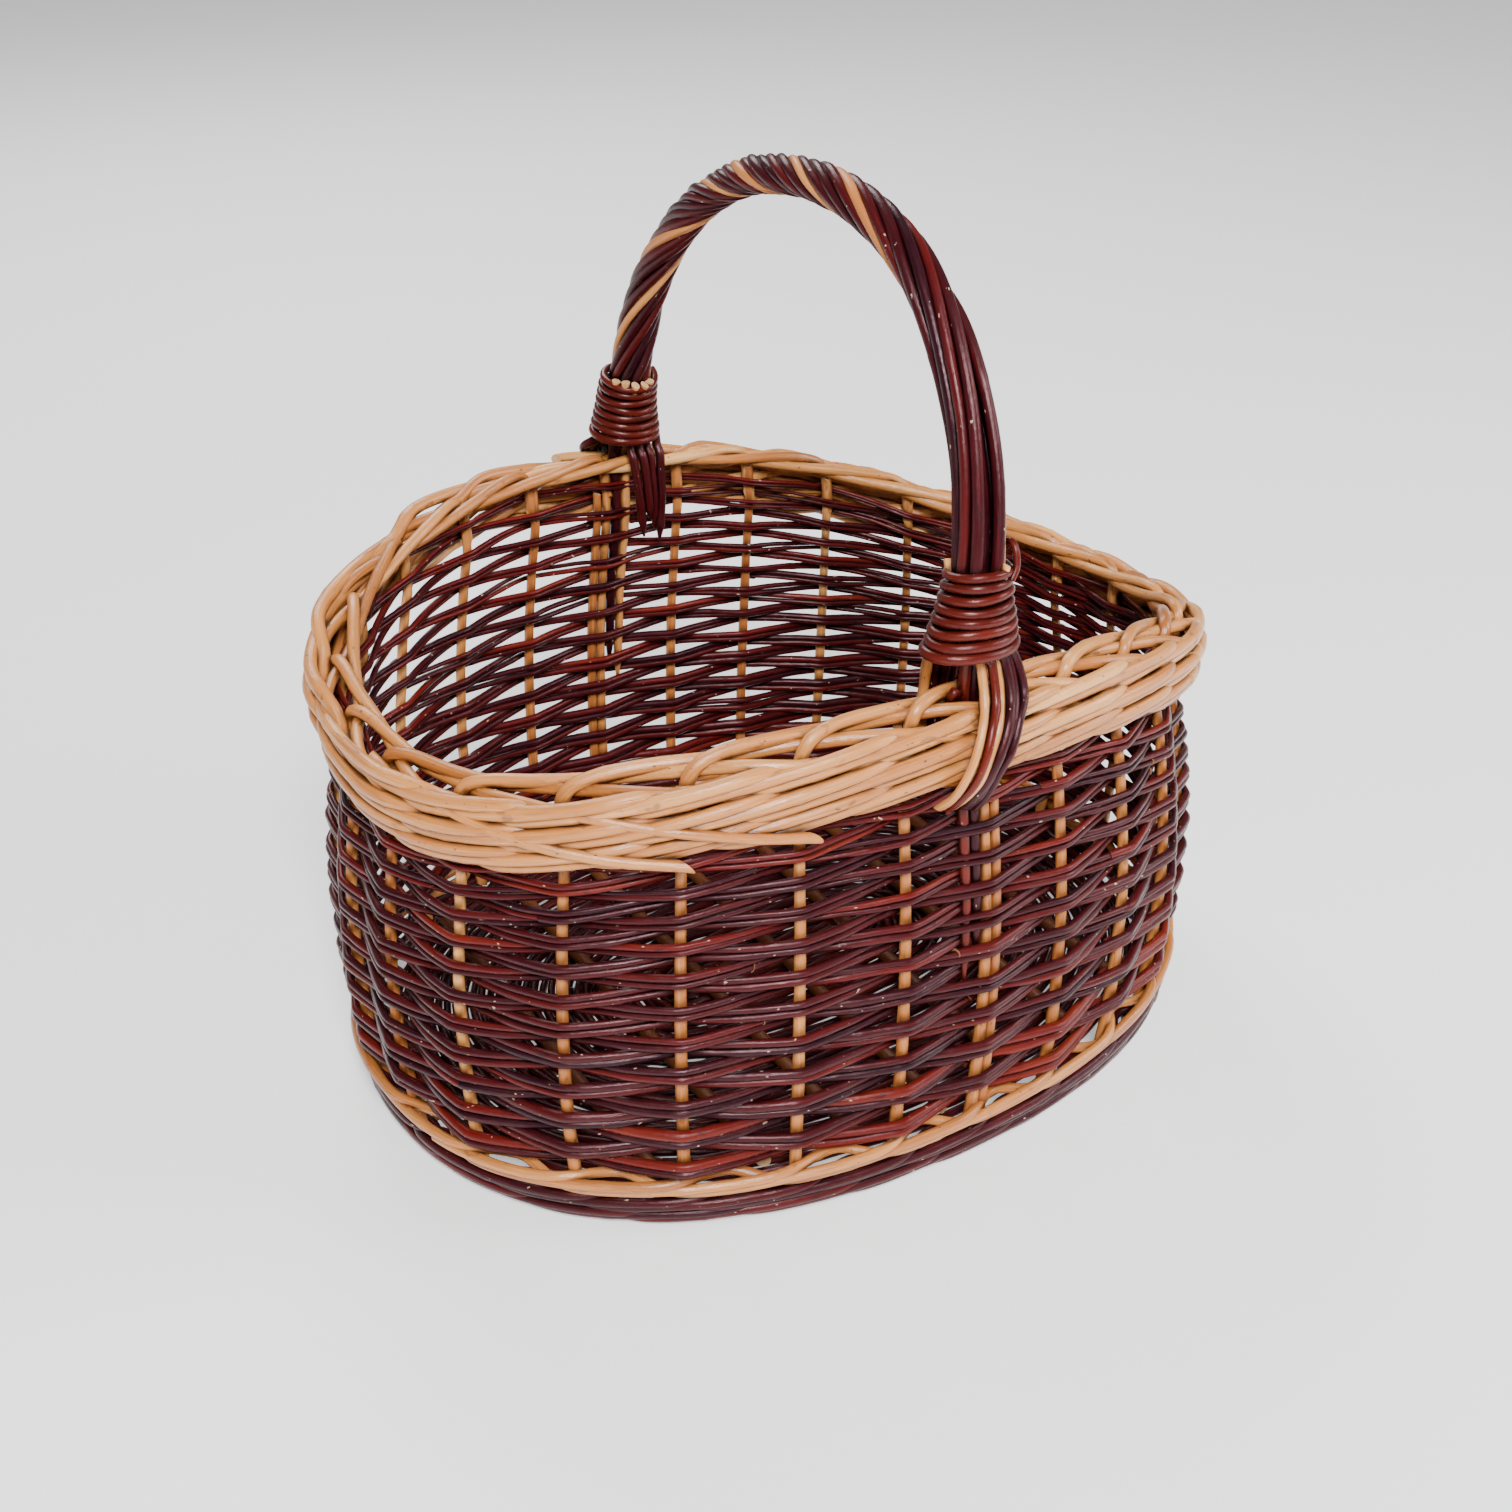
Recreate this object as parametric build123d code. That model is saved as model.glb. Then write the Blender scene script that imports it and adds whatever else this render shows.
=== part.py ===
from build123d import *
import math
import os

# ---------------------------------------------------------------- driving dimensions (mm)
N_EXP = 2.25            # exponent of the oval plan
FOOT_A, FOOT_B = 197.0, 151.0     # half length and half width of the wall centre line at the foot
RIM_A, RIM_B = 199.0, 143.5       # the same under the rim
BULGE_A, BULGE_B = 16.0, 18.0     # how far the wall swells between foot and rim
RIM_Z = 182.5           # mean height of the rim's lower edge
SADDLE, TILT, TURN, TWIST = -18.5, -12.7, 4.1, -6.0   # how the rim's height varies round the oval

STAKES = 26             # upright rods round the oval
STAKE_D = 5.4           # diameter of an upright rod
SLOT = 2.9              # half of the slot that the uprights stand in
WALL_HALF = 6.6         # half thickness of the woven wall
WEAVE_TOP = 20.0        # how far the weave runs up behind the rim, over its lower edge
ROW_EASE = 0.38         # how much the rows close up from foot to rim
STRAY = 10.0            # the hand-set uprights stand this far round from even spacing, and
STRAY_BUMPS = ((7.7, 2.3, -10.0), (11.8, 1.0, 5.5), (23.7, 1.7, 4.0))   # more or less here: upright, spread, mm
UPRIGHT_LEAN = (11.5, 3.2, 6.5)   # the front ones lean: upright, spread, mm between foot and rim
COURSES = 13            # pairs of woven rows between lower wale and rim
COURSE_GAP = 0.3        # gap between neighbouring courses

FOOT_H = 17.0           # height of the dark foot wale
WALE_H = 11.0           # height of the light wale over it
FOOT_OUT, WALE_OUT = 8.0, 10.0    # outer face of each, from the wall centre line

RIM_ROUNDS = 3          # rounds of waling in the rim
RIM_ROUND_H = 8.8       # height of one round
RIM_OUT = 19.0          # how far the rim reaches outside the wall centre line
BORDER_IN = 9.5         # inner face of the folded border
RIM_TOP = 31.0          # top of the border over the rim's lower edge

STICK_D = 7.0           # diameter of the base sticks
BASE_CLEAR = 1.5        # how far the base sticks stand off the floor
BASE_WEB = 6.0          # thickness of the base weave

ARCH_Z0 = 225.3         # where the handle's arch springs from its upright legs
ARCH_TOP = 403.5        # height of the rope's centre at the crest
ARCH_Y = 142.5          # half span of the handle
ARCH_EXP = 2.1          # exponent of the arch
LEAN_X, SWAY_X, LEAN_Y = 11.9, -6.6, -10.5     # how far the bent bow leans from its own plane
CORE_D = 5.2            # diameter of the core rod of the handle bow
ROPE_IN, ROPE_OUT = 3.0, 10.5     # radii of the twisted rope round the core
ROPE_FOOT = 246.0       # height where the rope ends and its rods spread
WRAP_TURNS, WRAP_D, WRAP_PITCH = 8, 4.0, 4.35 # binding round each foot of the handle
LEG_D = 4.4             # diameter of the rods that spread from the binding
LEG_PITCH = 4.6         # spacing of those rods
OUTER_LEGS, INNER_LEGS = 6, 4     # rods over the rim's outside and down its inside, each foot
LEG_SIDE, LEG_DRIFT = 8.0, 16.0  # where the outer rods start along the rim, and how far they slant back
INNER_SIDE_FRONT, INNER_SIDE_REAR = -2.4, 6.0   # middle of the inner rods along X
LINER = 5.6             # distance from the middle uprights to the liners beside them
BOW_GAP, BOW_PITCH = 5.4, 5.3     # from a middle upright to the nearer bow end, and on to the next


# ---------------------------------------------------------------- plan and heights
def oval(t, a, b):
    c, s = math.cos(t), math.sin(t)
    p = 2.0 / N_EXP
    return (a * math.copysign(abs(c) ** p, c), b * math.copysign(abs(s) ** p, s))


def axes(v):
    """Half axes of the wall centre line at height share v."""
    swell = v * (1 - v)
    return (FOOT_A + (RIM_A - FOOT_A) * v + BULGE_A * swell,
            FOOT_B + (RIM_B - FOOT_B) * v + BULGE_B * swell)


def rim_z(t):
    return (RIM_Z + SADDLE * math.cos(2 * t) + TILT * math.cos(t)
            + TURN * math.sin(t) + TWIST * math.sin(2 * t))


def spot(t, v, out=0.0):
    """Plan point at angle t and height share v, moved out along the wall's normal."""
    a, b = axes(v)
    x, y = oval(t, a, b)
    x2, y2 = oval(t + 1e-3, a, b)
    x1, y1 = oval(t - 1e-3, a, b)
    dx, dy = x2 - x1, y2 - y1
    k = math.hypot(dx, dy)
    return (x + dy / k * out, y - dx / k * out)


def measured_round():
    """Angles and distances round the rim oval, from the middle of the +Y side."""
    steps = 2880
    a, b = axes(1.0)
    ts = [math.pi / 2 + 2 * math.pi * i / steps for i in range(steps + 1)]
    run = [0.0]
    for i in range(steps):
        p, q = oval(ts[i], a, b), oval(ts[i + 1], a, b)
        run.append(run[-1] + math.hypot(q[0] - p[0], q[1] - p[1]))
    return ts, run


ROUND_T, ROUND_RUN = measured_round()


def angle_at(share):
    """Angle of the point that share of the way round."""
    want = (share % 1.0) * ROUND_RUN[-1]
    i = 0
    while ROUND_RUN[i + 1] < want:
        i += 1
    step = (want - ROUND_RUN[i]) / (ROUND_RUN[i + 1] - ROUND_RUN[i])
    return ROUND_T[i] + (ROUND_T[i + 1] - ROUND_T[i]) * step


def bump(k, centre, spread, height):
    off = (k - centre + STAKES / 2) % STAKES - STAKES / 2
    return height * math.exp(-(off / spread) ** 2)


def upright_angle(k, v):
    """Angle of upright k at height share v."""
    stray = STRAY + sum(bump(k, *b) for b in STRAY_BUMPS) - (1 - v) * bump(k, *UPRIGHT_LEAN)
    return angle_at(k / STAKES + stray / ROUND_RUN[-1])


RING_T = [angle_at(k / 48) for k in range(48)]


# ---------------------------------------------------------------- solids
def ring_edge(v_of, out, z_of):
    pts = [Vector(*spot(t, v_of(t), out), z_of(t)) for t in RING_T]
    return Edge.make_spline(pts, periodic=True)


def band(corners):
    """A closed hoop from the four corner lines of its section, in order."""
    edges = [ring_edge(*c) for c in corners]
    faces = [Face.make_surface_from_curves(edges[i], edges[(i + 1) % len(edges)])
             for i in range(len(edges))]
    hoop = Solid(Shell(faces))
    if hoop.volume < 0:
        hoop = Solid(hoop.wrapped.Reversed())
    return hoop


def share_z(v):
    """Height of the wall at share v, between the light wale and the top of the weave."""
    low = FOOT_H + WALE_H
    return lambda t: low + (rim_z(t) + WEAVE_TOP - low) * v


def share_v(v):
    z = share_z(v)
    return lambda t: min(1.0, z(t) / rim_z(t))


def course_share(k):
    u = k / COURSES
    return (1 + ROW_EASE) * u - ROW_EASE * u * u


def flat(z):
    return lambda t: z


def at_height(z):
    return lambda t: z / rim_z(t)


def rim_at(dz):
    return lambda t: rim_z(t) + dz


def one(t):
    return 1.0


def rod(points, d, tangents=None):
    path = Edge.make_spline([Vector(*p) for p in points], tangents=tangents)
    return Solid.sweep(Wire.make_circle(d / 2, Plane(origin=path @ 0, z_dir=path % 0)), path=path)


def save(name, solids):
    shape = solids[0] if len(solids) == 1 else Compound(children=list(solids))
    export_step(shape, f"parts/{name}.step")


os.makedirs("parts", exist_ok=True)

# foot wale and light wale: each a hoop, flat where it rests
foot = band([(at_height(0), -SLOT - 3, flat(-1)), (at_height(0), FOOT_OUT - 2, flat(-1)),
             (at_height(6), FOOT_OUT, flat(6)), (at_height(FOOT_H), FOOT_OUT, flat(FOOT_H - 0.2)),
             (at_height(FOOT_H), -SLOT - 3, flat(FOOT_H - 0.2))])
foot = (foot & Box(600, 500, 60, align=(Align.CENTER, Align.CENTER, Align.MIN))).solids()[0]
save("foot_wale", [foot])
low, top = FOOT_H, FOOT_H + WALE_H - 0.2
save("light_wale", [
    band([(at_height(low), SLOT, flat(low)), (at_height(low), WALE_OUT - 1, flat(low)),
          (at_height(top), WALE_OUT - 1, flat(top)), (at_height(top), SLOT, flat(top))]),
    band([(at_height(low), -SLOT - 4, flat(low)), (at_height(low), -SLOT, flat(low)),
          (at_height(top), -SLOT, flat(top)), (at_height(top), -SLOT - 4, flat(top))])])

# woven courses: an outer and an inner strand group with the uprights between them
for k in range(COURSES):
    v0, v1 = course_share(k), course_share(k + 1)
    eps = COURSE_GAP / 160.0
    z0, z1 = share_z(v0 + eps / 2), share_z(v1 - eps / 2)
    w0, w1 = share_v(v0 + eps / 2), share_v(v1 - eps / 2)
    save(f"weave_course_{k + 1:02d}", [
        band([(w0, SLOT, z0), (w0, WALL_HALF, z0), (w1, WALL_HALF, z1), (w1, SLOT, z1)]),
        band([(w0, -WALL_HALF, z0), (w0, -SLOT, z0), (w1, -SLOT, z1), (w1, -WALL_HALF, z1)])])

# rim: three rounds of heavy rods outside the top of the weave
swell = [0.78, 1.0, 0.94, 0.62]
for k in range(RIM_ROUNDS):
    za, zb = k * RIM_ROUND_H + 0.15, (k + 1) * RIM_ROUND_H - 0.15
    save(f"rim_round_{k + 1}", [band([
        (one, WALL_HALF + 0.2, rim_at(za)), (one, RIM_OUT * swell[k], rim_at(za)),
        (one, RIM_OUT * swell[k + 1], rim_at(zb)), (one, WALL_HALF + 0.2, rim_at(zb))])])

# border: the uprights' tops folded over into a hoop on the inner edge of the rim
save("border", [band([
    (one, -BORDER_IN, rim_at(WEAVE_TOP + 0.2)), (one, -SLOT - 0.2, rim_at(WEAVE_TOP + 0.2)),
    (one, -SLOT - 0.2, rim_at(RIM_TOP)), (one, -BORDER_IN + 3, rim_at(RIM_TOP)),
    (one, -BORDER_IN, rim_at(RIM_TOP - 3))])])


# uprights: from the floor of the foot wale slot to under the border
def upright(k, dx=0.0, d=STAKE_D, z_lo=FOOT_H + 0.2, over=RIM_TOP - 4):
    hi = rim_z(upright_angle(k, 1.0)) + over
    pts = []
    for i in range(6):
        z = z_lo + (hi - z_lo) * i / 5
        t = upright_angle(k, min(1.0, z / hi))
        x, y = spot(t, min(1.0, z / rim_z(t)))
        pts.append((x + dx, y, z))
    return rod(pts, d)


groups = {"front": [], "back": [], "left_end": [], "right_end": []}
for k in range(STAKES):
    x, y = oval(angle_at(k / STAKES), RIM_A, RIM_B)
    if abs(x) > 0.62 * RIM_A:
        side = "right_end" if x > 0 else "left_end"
    else:
        side = "back" if y > 0 else "front"
    groups[side].append(upright(k))
for side, solids in groups.items():
    save(f"stakes_{side}", solids)

# liners beside the middle uprights of both long sides
save("handle_liners", [upright(0, dx=-LINER, over=12), upright(STAKES // 2, dx=LINER, over=12)])


# ---------------------------------------------------------------- base
def stick(y, half, z, along):
    p, q = ((-half, y, z), (half, y, z)) if along == "x" else ((y, -half, z), (y, half, z))
    return Solid.make_cylinder(STICK_D / 2, 2 * half, Plane(p, z_dir=Vector(*q) - Vector(*p)))


FOOT_IN = SLOT + 3 + 0.4    # room between base and the foot wale's inner face
long_z = BASE_CLEAR + STICK_D / 2
web_z = long_z + STICK_D / 2 + 0.15
cross_z = web_z + BASE_WEB + 0.15 + STICK_D / 2


def reach(off, a, b):
    return a * (1 - (abs(off) / b) ** N_EXP) ** (1 / N_EXP)


in_a, in_b = FOOT_A - FOOT_IN - 1, FOOT_B - FOOT_IN - 1
rows = [16.0 * (i - 2) for i in range(5)]
save("base_long_sticks", [stick(y, reach(abs(y) + STICK_D / 2, in_a, in_b), long_z, "x") for y in rows])
cols = [44.0 * (i - 3) for i in range(7)]
tuck_a, tuck_b = in_a - 1, in_b - 1
save("base_cross_sticks", [stick(x, reach(abs(x) + STICK_D / 2, tuck_b, tuck_a), cross_z, "y") for x in cols])
web_edge = Edge.make_spline([Vector(*oval(t, in_a, in_b), web_z) for t in RING_T], periodic=True)
web = Solid.extrude(Face(Wire([web_edge])), Vector(0, 0, BASE_WEB))
save("base_weave", [web])


# ---------------------------------------------------------------- handle
def arch(s):
    """Point of the rope's centre line; s runs from 0 at the -Y foot to 1 at the +Y foot."""
    th = math.pi * (1 - s)
    c, q = math.cos(th), math.sin(th)
    p = 2.0 / ARCH_EXP
    return Vector(LEAN_X * q + SWAY_X * math.sin(2 * th),
                  LEAN_Y * q + ARCH_Y * math.copysign(abs(c) ** p, c),
                  ARCH_Z0 + (ARCH_TOP - ARCH_Z0) * abs(q) ** p)


def arch_at_height(z, front):
    """Share s of the arch at height z on one leg."""
    lo, hi = 0.0, 0.5
    for _ in range(50):
        m = (lo + hi) / 2
        if arch(m if front else 1 - m).Z < z:
            lo = m
        else:
            hi = m
    return lo if front else 1 - lo


s_front, s_rear = arch_at_height(ROPE_FOOT, True), arch_at_height(ROPE_FOOT, False)
rope_pts = [arch(s_front + (s_rear - s_front) * i / 30) for i in range(31)]
rope_path = Edge.make_spline(rope_pts)


def tube(path, r_out, r_in):
    plane = Plane(origin=path @ 0, z_dir=path % 0)
    skin = Face(Wire.make_circle(r_out, plane), [Wire.make_circle(r_in, plane)])
    return Solid.sweep(skin, path=path)


save("handle_rope", [tube(rope_path, ROPE_OUT, ROPE_IN)])


# core rod inside the rope
save("handle_core", [Solid.sweep(Wire.make_circle(CORE_D / 2, Plane(origin=rope_path @ 0,
                                                                    z_dir=rope_path % 0)), path=rope_path)])


# ends of the bow: from under each binding down into the wall's slot beside the middle upright
def bow_end(side, n, tip):
    k = 0 if side > 0 else STAKES // 2
    gap = side * (BOW_GAP + BOW_PITCH * n)
    top = rim_z(upright_angle(k, 1.0))
    leg = []
    for z in (tip, tip + 30, top - 40, top, top + 20, ROPE_FOOT - 3):
        t = upright_angle(k, min(1.0, z / top))
        x, y = spot(t, min(1.0, z / rim_z(t)))
        leg.append((x + gap, y, z))
    return rod(leg, CORE_D - 0.2)


save("handle_bow_ends", [bow_end(-1, 0, 105.0), bow_end(-1, 1, 95.0),
                         bow_end(1, 0, 112.0), bow_end(1, 1, 100.0)])


# binding: one rod wound round each foot of the rope
def binding(front):
    pts, turn_pts = [], 14
    step = 1e-3 if front else -1e-3
    radius = ROPE_OUT + WRAP_D / 2 + 0.3
    for i in range(WRAP_TURNS * turn_pts + 1):
        a = 2 * math.pi * i / turn_pts
        s = arch_at_height(ROPE_FOOT + 2.2 + WRAP_PITCH * i / turn_pts, front)
        up = (arch(s + step) - arch(s - step)).normalized()
        side = (Vector(1, 0, 0) - up * up.X).normalized()
        other = up.cross(side)
        pts.append(arch(s) + side * (radius * math.cos(a)) + other * (radius * math.sin(a)))
    return rod([tuple(p) for p in pts], WRAP_D)


save("handle_binding_front", [binding(True)])
save("handle_binding_rear", [binding(False)])


# rods that spread from each binding: over the outside of the rim and down its inside
def outer_leg(side, i):
    x = (i - (OUTER_LEGS - 1) / 2) * LEG_PITCH + LEG_SIDE
    t = side * math.pi / 2
    rz, wall = rim_z(t), RIM_B
    run = [(0.0, 6.0, ROPE_FOOT - 2.8), (0.15, 11.5, rz + 32), (0.42, 18.2, rz + 25),
           (0.68, 22.4, rz + 15), (0.86, 21.6, rz + 6), (0.96, 17.6, rz - 4), (1.0, 12.5, rz - 11)]
    return rod([(-side * (x - LEG_DRIFT * k), side * (wall + o), z) for k, o, z in run], LEG_D)


def inner_leg(side, i):
    x = (i - (INNER_LEGS - 1) / 2) * LEG_PITCH + (INNER_SIDE_REAR if side > 0 else INNER_SIDE_FRONT)
    t = side * math.pi / 2
    rz, wall = rim_z(t), RIM_B
    run = [(9.5, ROPE_FOOT - 2.8), (12.8, rz + 33), (13.4, rz + 24), (12.8, rz + 14), (10.8, rz + 2),
           (9.6, rz - 11)]
    return rod([(x, side * (wall - o), z) for o, z in run], LEG_D)


for name, side in (("front", -1), ("rear", 1)):
    save(f"handle_legs_{name}_outer", [outer_leg(side, i) for i in range(OUTER_LEGS)])
    save(f"handle_legs_{name}_inner", [inner_leg(side, i) for i in range(INNER_LEGS)])
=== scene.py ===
import math
import bpy
import numpy as np
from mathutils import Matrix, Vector


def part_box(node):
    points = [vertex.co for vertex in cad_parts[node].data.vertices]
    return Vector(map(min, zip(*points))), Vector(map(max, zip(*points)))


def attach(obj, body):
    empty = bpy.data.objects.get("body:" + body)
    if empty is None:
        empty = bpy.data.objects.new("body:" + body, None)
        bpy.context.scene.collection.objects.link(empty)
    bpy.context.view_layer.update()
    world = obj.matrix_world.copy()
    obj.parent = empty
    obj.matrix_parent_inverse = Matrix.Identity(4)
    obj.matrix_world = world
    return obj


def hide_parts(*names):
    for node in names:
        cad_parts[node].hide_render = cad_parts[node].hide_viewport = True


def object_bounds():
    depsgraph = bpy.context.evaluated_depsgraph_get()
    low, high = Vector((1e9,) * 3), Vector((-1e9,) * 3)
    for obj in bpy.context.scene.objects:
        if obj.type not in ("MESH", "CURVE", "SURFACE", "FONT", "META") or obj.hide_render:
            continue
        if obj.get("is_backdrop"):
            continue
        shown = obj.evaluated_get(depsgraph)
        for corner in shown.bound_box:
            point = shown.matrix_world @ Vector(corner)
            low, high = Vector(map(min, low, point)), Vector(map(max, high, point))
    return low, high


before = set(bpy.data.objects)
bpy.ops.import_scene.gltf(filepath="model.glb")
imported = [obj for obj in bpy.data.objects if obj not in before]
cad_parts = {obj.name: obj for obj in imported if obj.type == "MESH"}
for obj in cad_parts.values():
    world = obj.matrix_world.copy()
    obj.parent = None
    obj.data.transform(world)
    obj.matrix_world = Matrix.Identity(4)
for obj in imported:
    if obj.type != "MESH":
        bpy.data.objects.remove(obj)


def write_size(key, store={}):
    """Keeps the scene's bounds under key in a dict in memory, beside the ones kept before."""
    lo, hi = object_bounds()
    store[key] = {"low": [float(v) for v in lo], "high": [float(v) for v in hi]}


write_size("frame")
rng = np.random.default_rng(26)

# ------------------------------------------------------------------ sizes, in mm, from the frame
MM = 0.001


def half(node, axis):
    """Half the node's size along one axis."""
    lo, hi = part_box(node)
    return (hi[axis] - lo[axis]) / 2 / MM


# The wall is measured on the oval where the uprights stand.
FOOT_INSET_A, FOOT_INSET_B = 5.4, 3.6         # from the foot wale's outer face
RIM_INSET = 19.0                              # from the rim's outer face
FOOT_A, FOOT_B = half("foot_wale", 0) - FOOT_INSET_A, half("foot_wale", 1) - FOOT_INSET_B
RIM_A, RIM_B = half("rim_round_2", 0) - RIM_INSET, half("rim_round_2", 1) - RIM_INSET
SQUARENESS = 2.25                             # exponent of the oval, 2 is an ellipse
BULGE_A, BULGE_B = 38.0, 34.0

# Height of the rim's lower edge, and how it rises and falls round the oval.
RIM_Z = 182.5
SADDLE, TILT, TURN, TWIST = -18.5, -12.7, 4.1, -6.0

FOOT_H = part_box("foot_wale")[1][2] / MM + 0.2
WALE_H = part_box("light_wale")[1][2] / MM + 0.2 - FOOT_H
LOW = FOOT_H + WALE_H                         # underside of the weave

STAKES = 26
MIDDLE = STAKES // 2                          # the upright in the middle of the -Y side
COURSES = 13
ROWS = 2 * COURSES
WEAVE_TOP = 19.0                              # the weave ends this far above the rim's lower edge
ROW_EASE = 0.38                               # how much closer the rows lie at the top

# Uprights stray from even spacing: all by STRAY, some by bumps of (upright, spread, height).
STRAY = 10.0
STRAY_BUMPS = ((7.7, 2.3, -10.0), (11.8, 1.0, 5.5), (23.7, 1.7, 4.0))
UPRIGHT_LEAN = (11.5, 3.2, 6.5)

# The handle's arch stands in the YZ plane and leans and sways a little.
ARCH_Z0, ARCH_TOP, ARCH_Y, ARCH_EXP = 225.3, 403.5, 142.5, 2.1
LEAN_X, SWAY_X, LEAN_Y = 11.9, -6.6, -10.5
ROPE_FOOT = 246.0                             # height at which the bindings start


def along(pts):
    """Distance of each point of a line from its start."""
    return np.concatenate([[0], np.cumsum(np.linalg.norm(np.diff(pts, axis=0), axis=1))])


def oval(t, a, b):
    c, s = np.cos(t), np.sin(t)
    p = 2.0 / SQUARENESS
    return a * np.sign(c) * np.abs(c) ** p, b * np.sign(s) * np.abs(s) ** p


def rim_z(t):
    return (RIM_Z + SADDLE * np.cos(2 * t) + TILT * np.cos(t)
            + TURN * np.sin(t) + TWIST * np.sin(2 * t))


ROUND_T = math.pi / 2 + np.linspace(0, 2 * np.pi, 5761)
ROUND_RUN = along(np.stack(oval(ROUND_T, RIM_A, RIM_B), -1))
AROUND = float(ROUND_RUN[-1])
SPAN = AROUND / STAKES                        # distance between uprights


def angle(u):
    """Angle of the point a share u round the oval; u = 0 is the middle of the +Y side."""
    u = np.asarray(u, float)
    return np.interp(u - np.floor(u), ROUND_RUN / AROUND, ROUND_T)


def wall(u, z, out):
    """Points of the wall: share u round, height z, moved out by out along the normal."""
    t = angle(u)
    z = np.broadcast_to(np.asarray(z, float), t.shape)
    v = np.clip(z / rim_z(t), 0, 1)
    swell = v * (1 - v)
    a = FOOT_A + (RIM_A - FOOT_A) * v + BULGE_A * swell
    b = FOOT_B + (RIM_B - FOOT_B) * v + BULGE_B * swell
    step = 2e-3
    x, y = oval(t, a, b)
    x2, y2 = oval(t + step, a, b)
    x1, y1 = oval(t - step, a, b)
    dx, dy = x2 - x1, y2 - y1
    k = np.hypot(dx, dy)
    return np.stack([x + dy / k * out, y - dx / k * out, z], -1)


def bump(k, centre, spread, height):
    off = (k - centre + STAKES / 2) % STAKES - STAKES / 2
    return height * np.exp(-(off / spread) ** 2)


def post_share(x, v=1.0):
    """Share of the way round of the point x, counted in uprights, at height share v."""
    stray = STRAY + sum(bump(x, *b) for b in STRAY_BUMPS) - (1 - v) * bump(x, *UPRIGHT_LEAN)
    return x / STAKES + stray / AROUND


def lip(x):
    """Height of the rim's lower edge at the point x, counted in uprights."""
    return rim_z(angle(post_share(np.asarray(x, float))))


def place(x, z, out):
    """Points of the wall, with x counted in uprights."""
    x = np.asarray(x, float)
    z = np.broadcast_to(np.asarray(z, float), x.shape)
    return wall(post_share(x, np.clip(z / lip(x), 0, 1)), z, out)


# ------------------------------------------------------------------ rods
def sweep_frame(pts):
    """Unit tangent and two normals along a line, turning as little as they can."""
    tan = np.gradient(pts, axis=0)
    tan /= np.linalg.norm(tan, axis=1)[:, None] + 1e-12
    nrm = np.zeros_like(pts)
    ref = np.array([0, 0, 1.0]) if abs(tan[0][2]) < 0.8 else np.array([1.0, 0, 0])
    cur = ref - tan[0] * np.dot(ref, tan[0])
    cur /= np.linalg.norm(cur)
    for i in range(len(pts)):
        cur = cur - tan[i] * np.dot(cur, tan[i])
        cur /= np.linalg.norm(cur)
        nrm[i] = cur
    return tan, nrm, np.cross(tan, nrm)


def swelling(run, lumps):
    """Factor of the radius along a rod: slow waves, and a knot every few centimetres."""
    phase = rng.uniform(0, 100)
    swell = 1 + lumps * 0.5 * np.sin(run / 17.0 + phase) + lumps * 0.4 * np.sin(run / 7.3 + phase * 2)
    at = rng.uniform(10, 70)
    while at < run[-1] - 4:
        swell = swell * (1 + lumps * 2.2 * np.exp(-((run - at) / 2.4) ** 2))
        at += rng.uniform(38, 95)
    return swell


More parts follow.
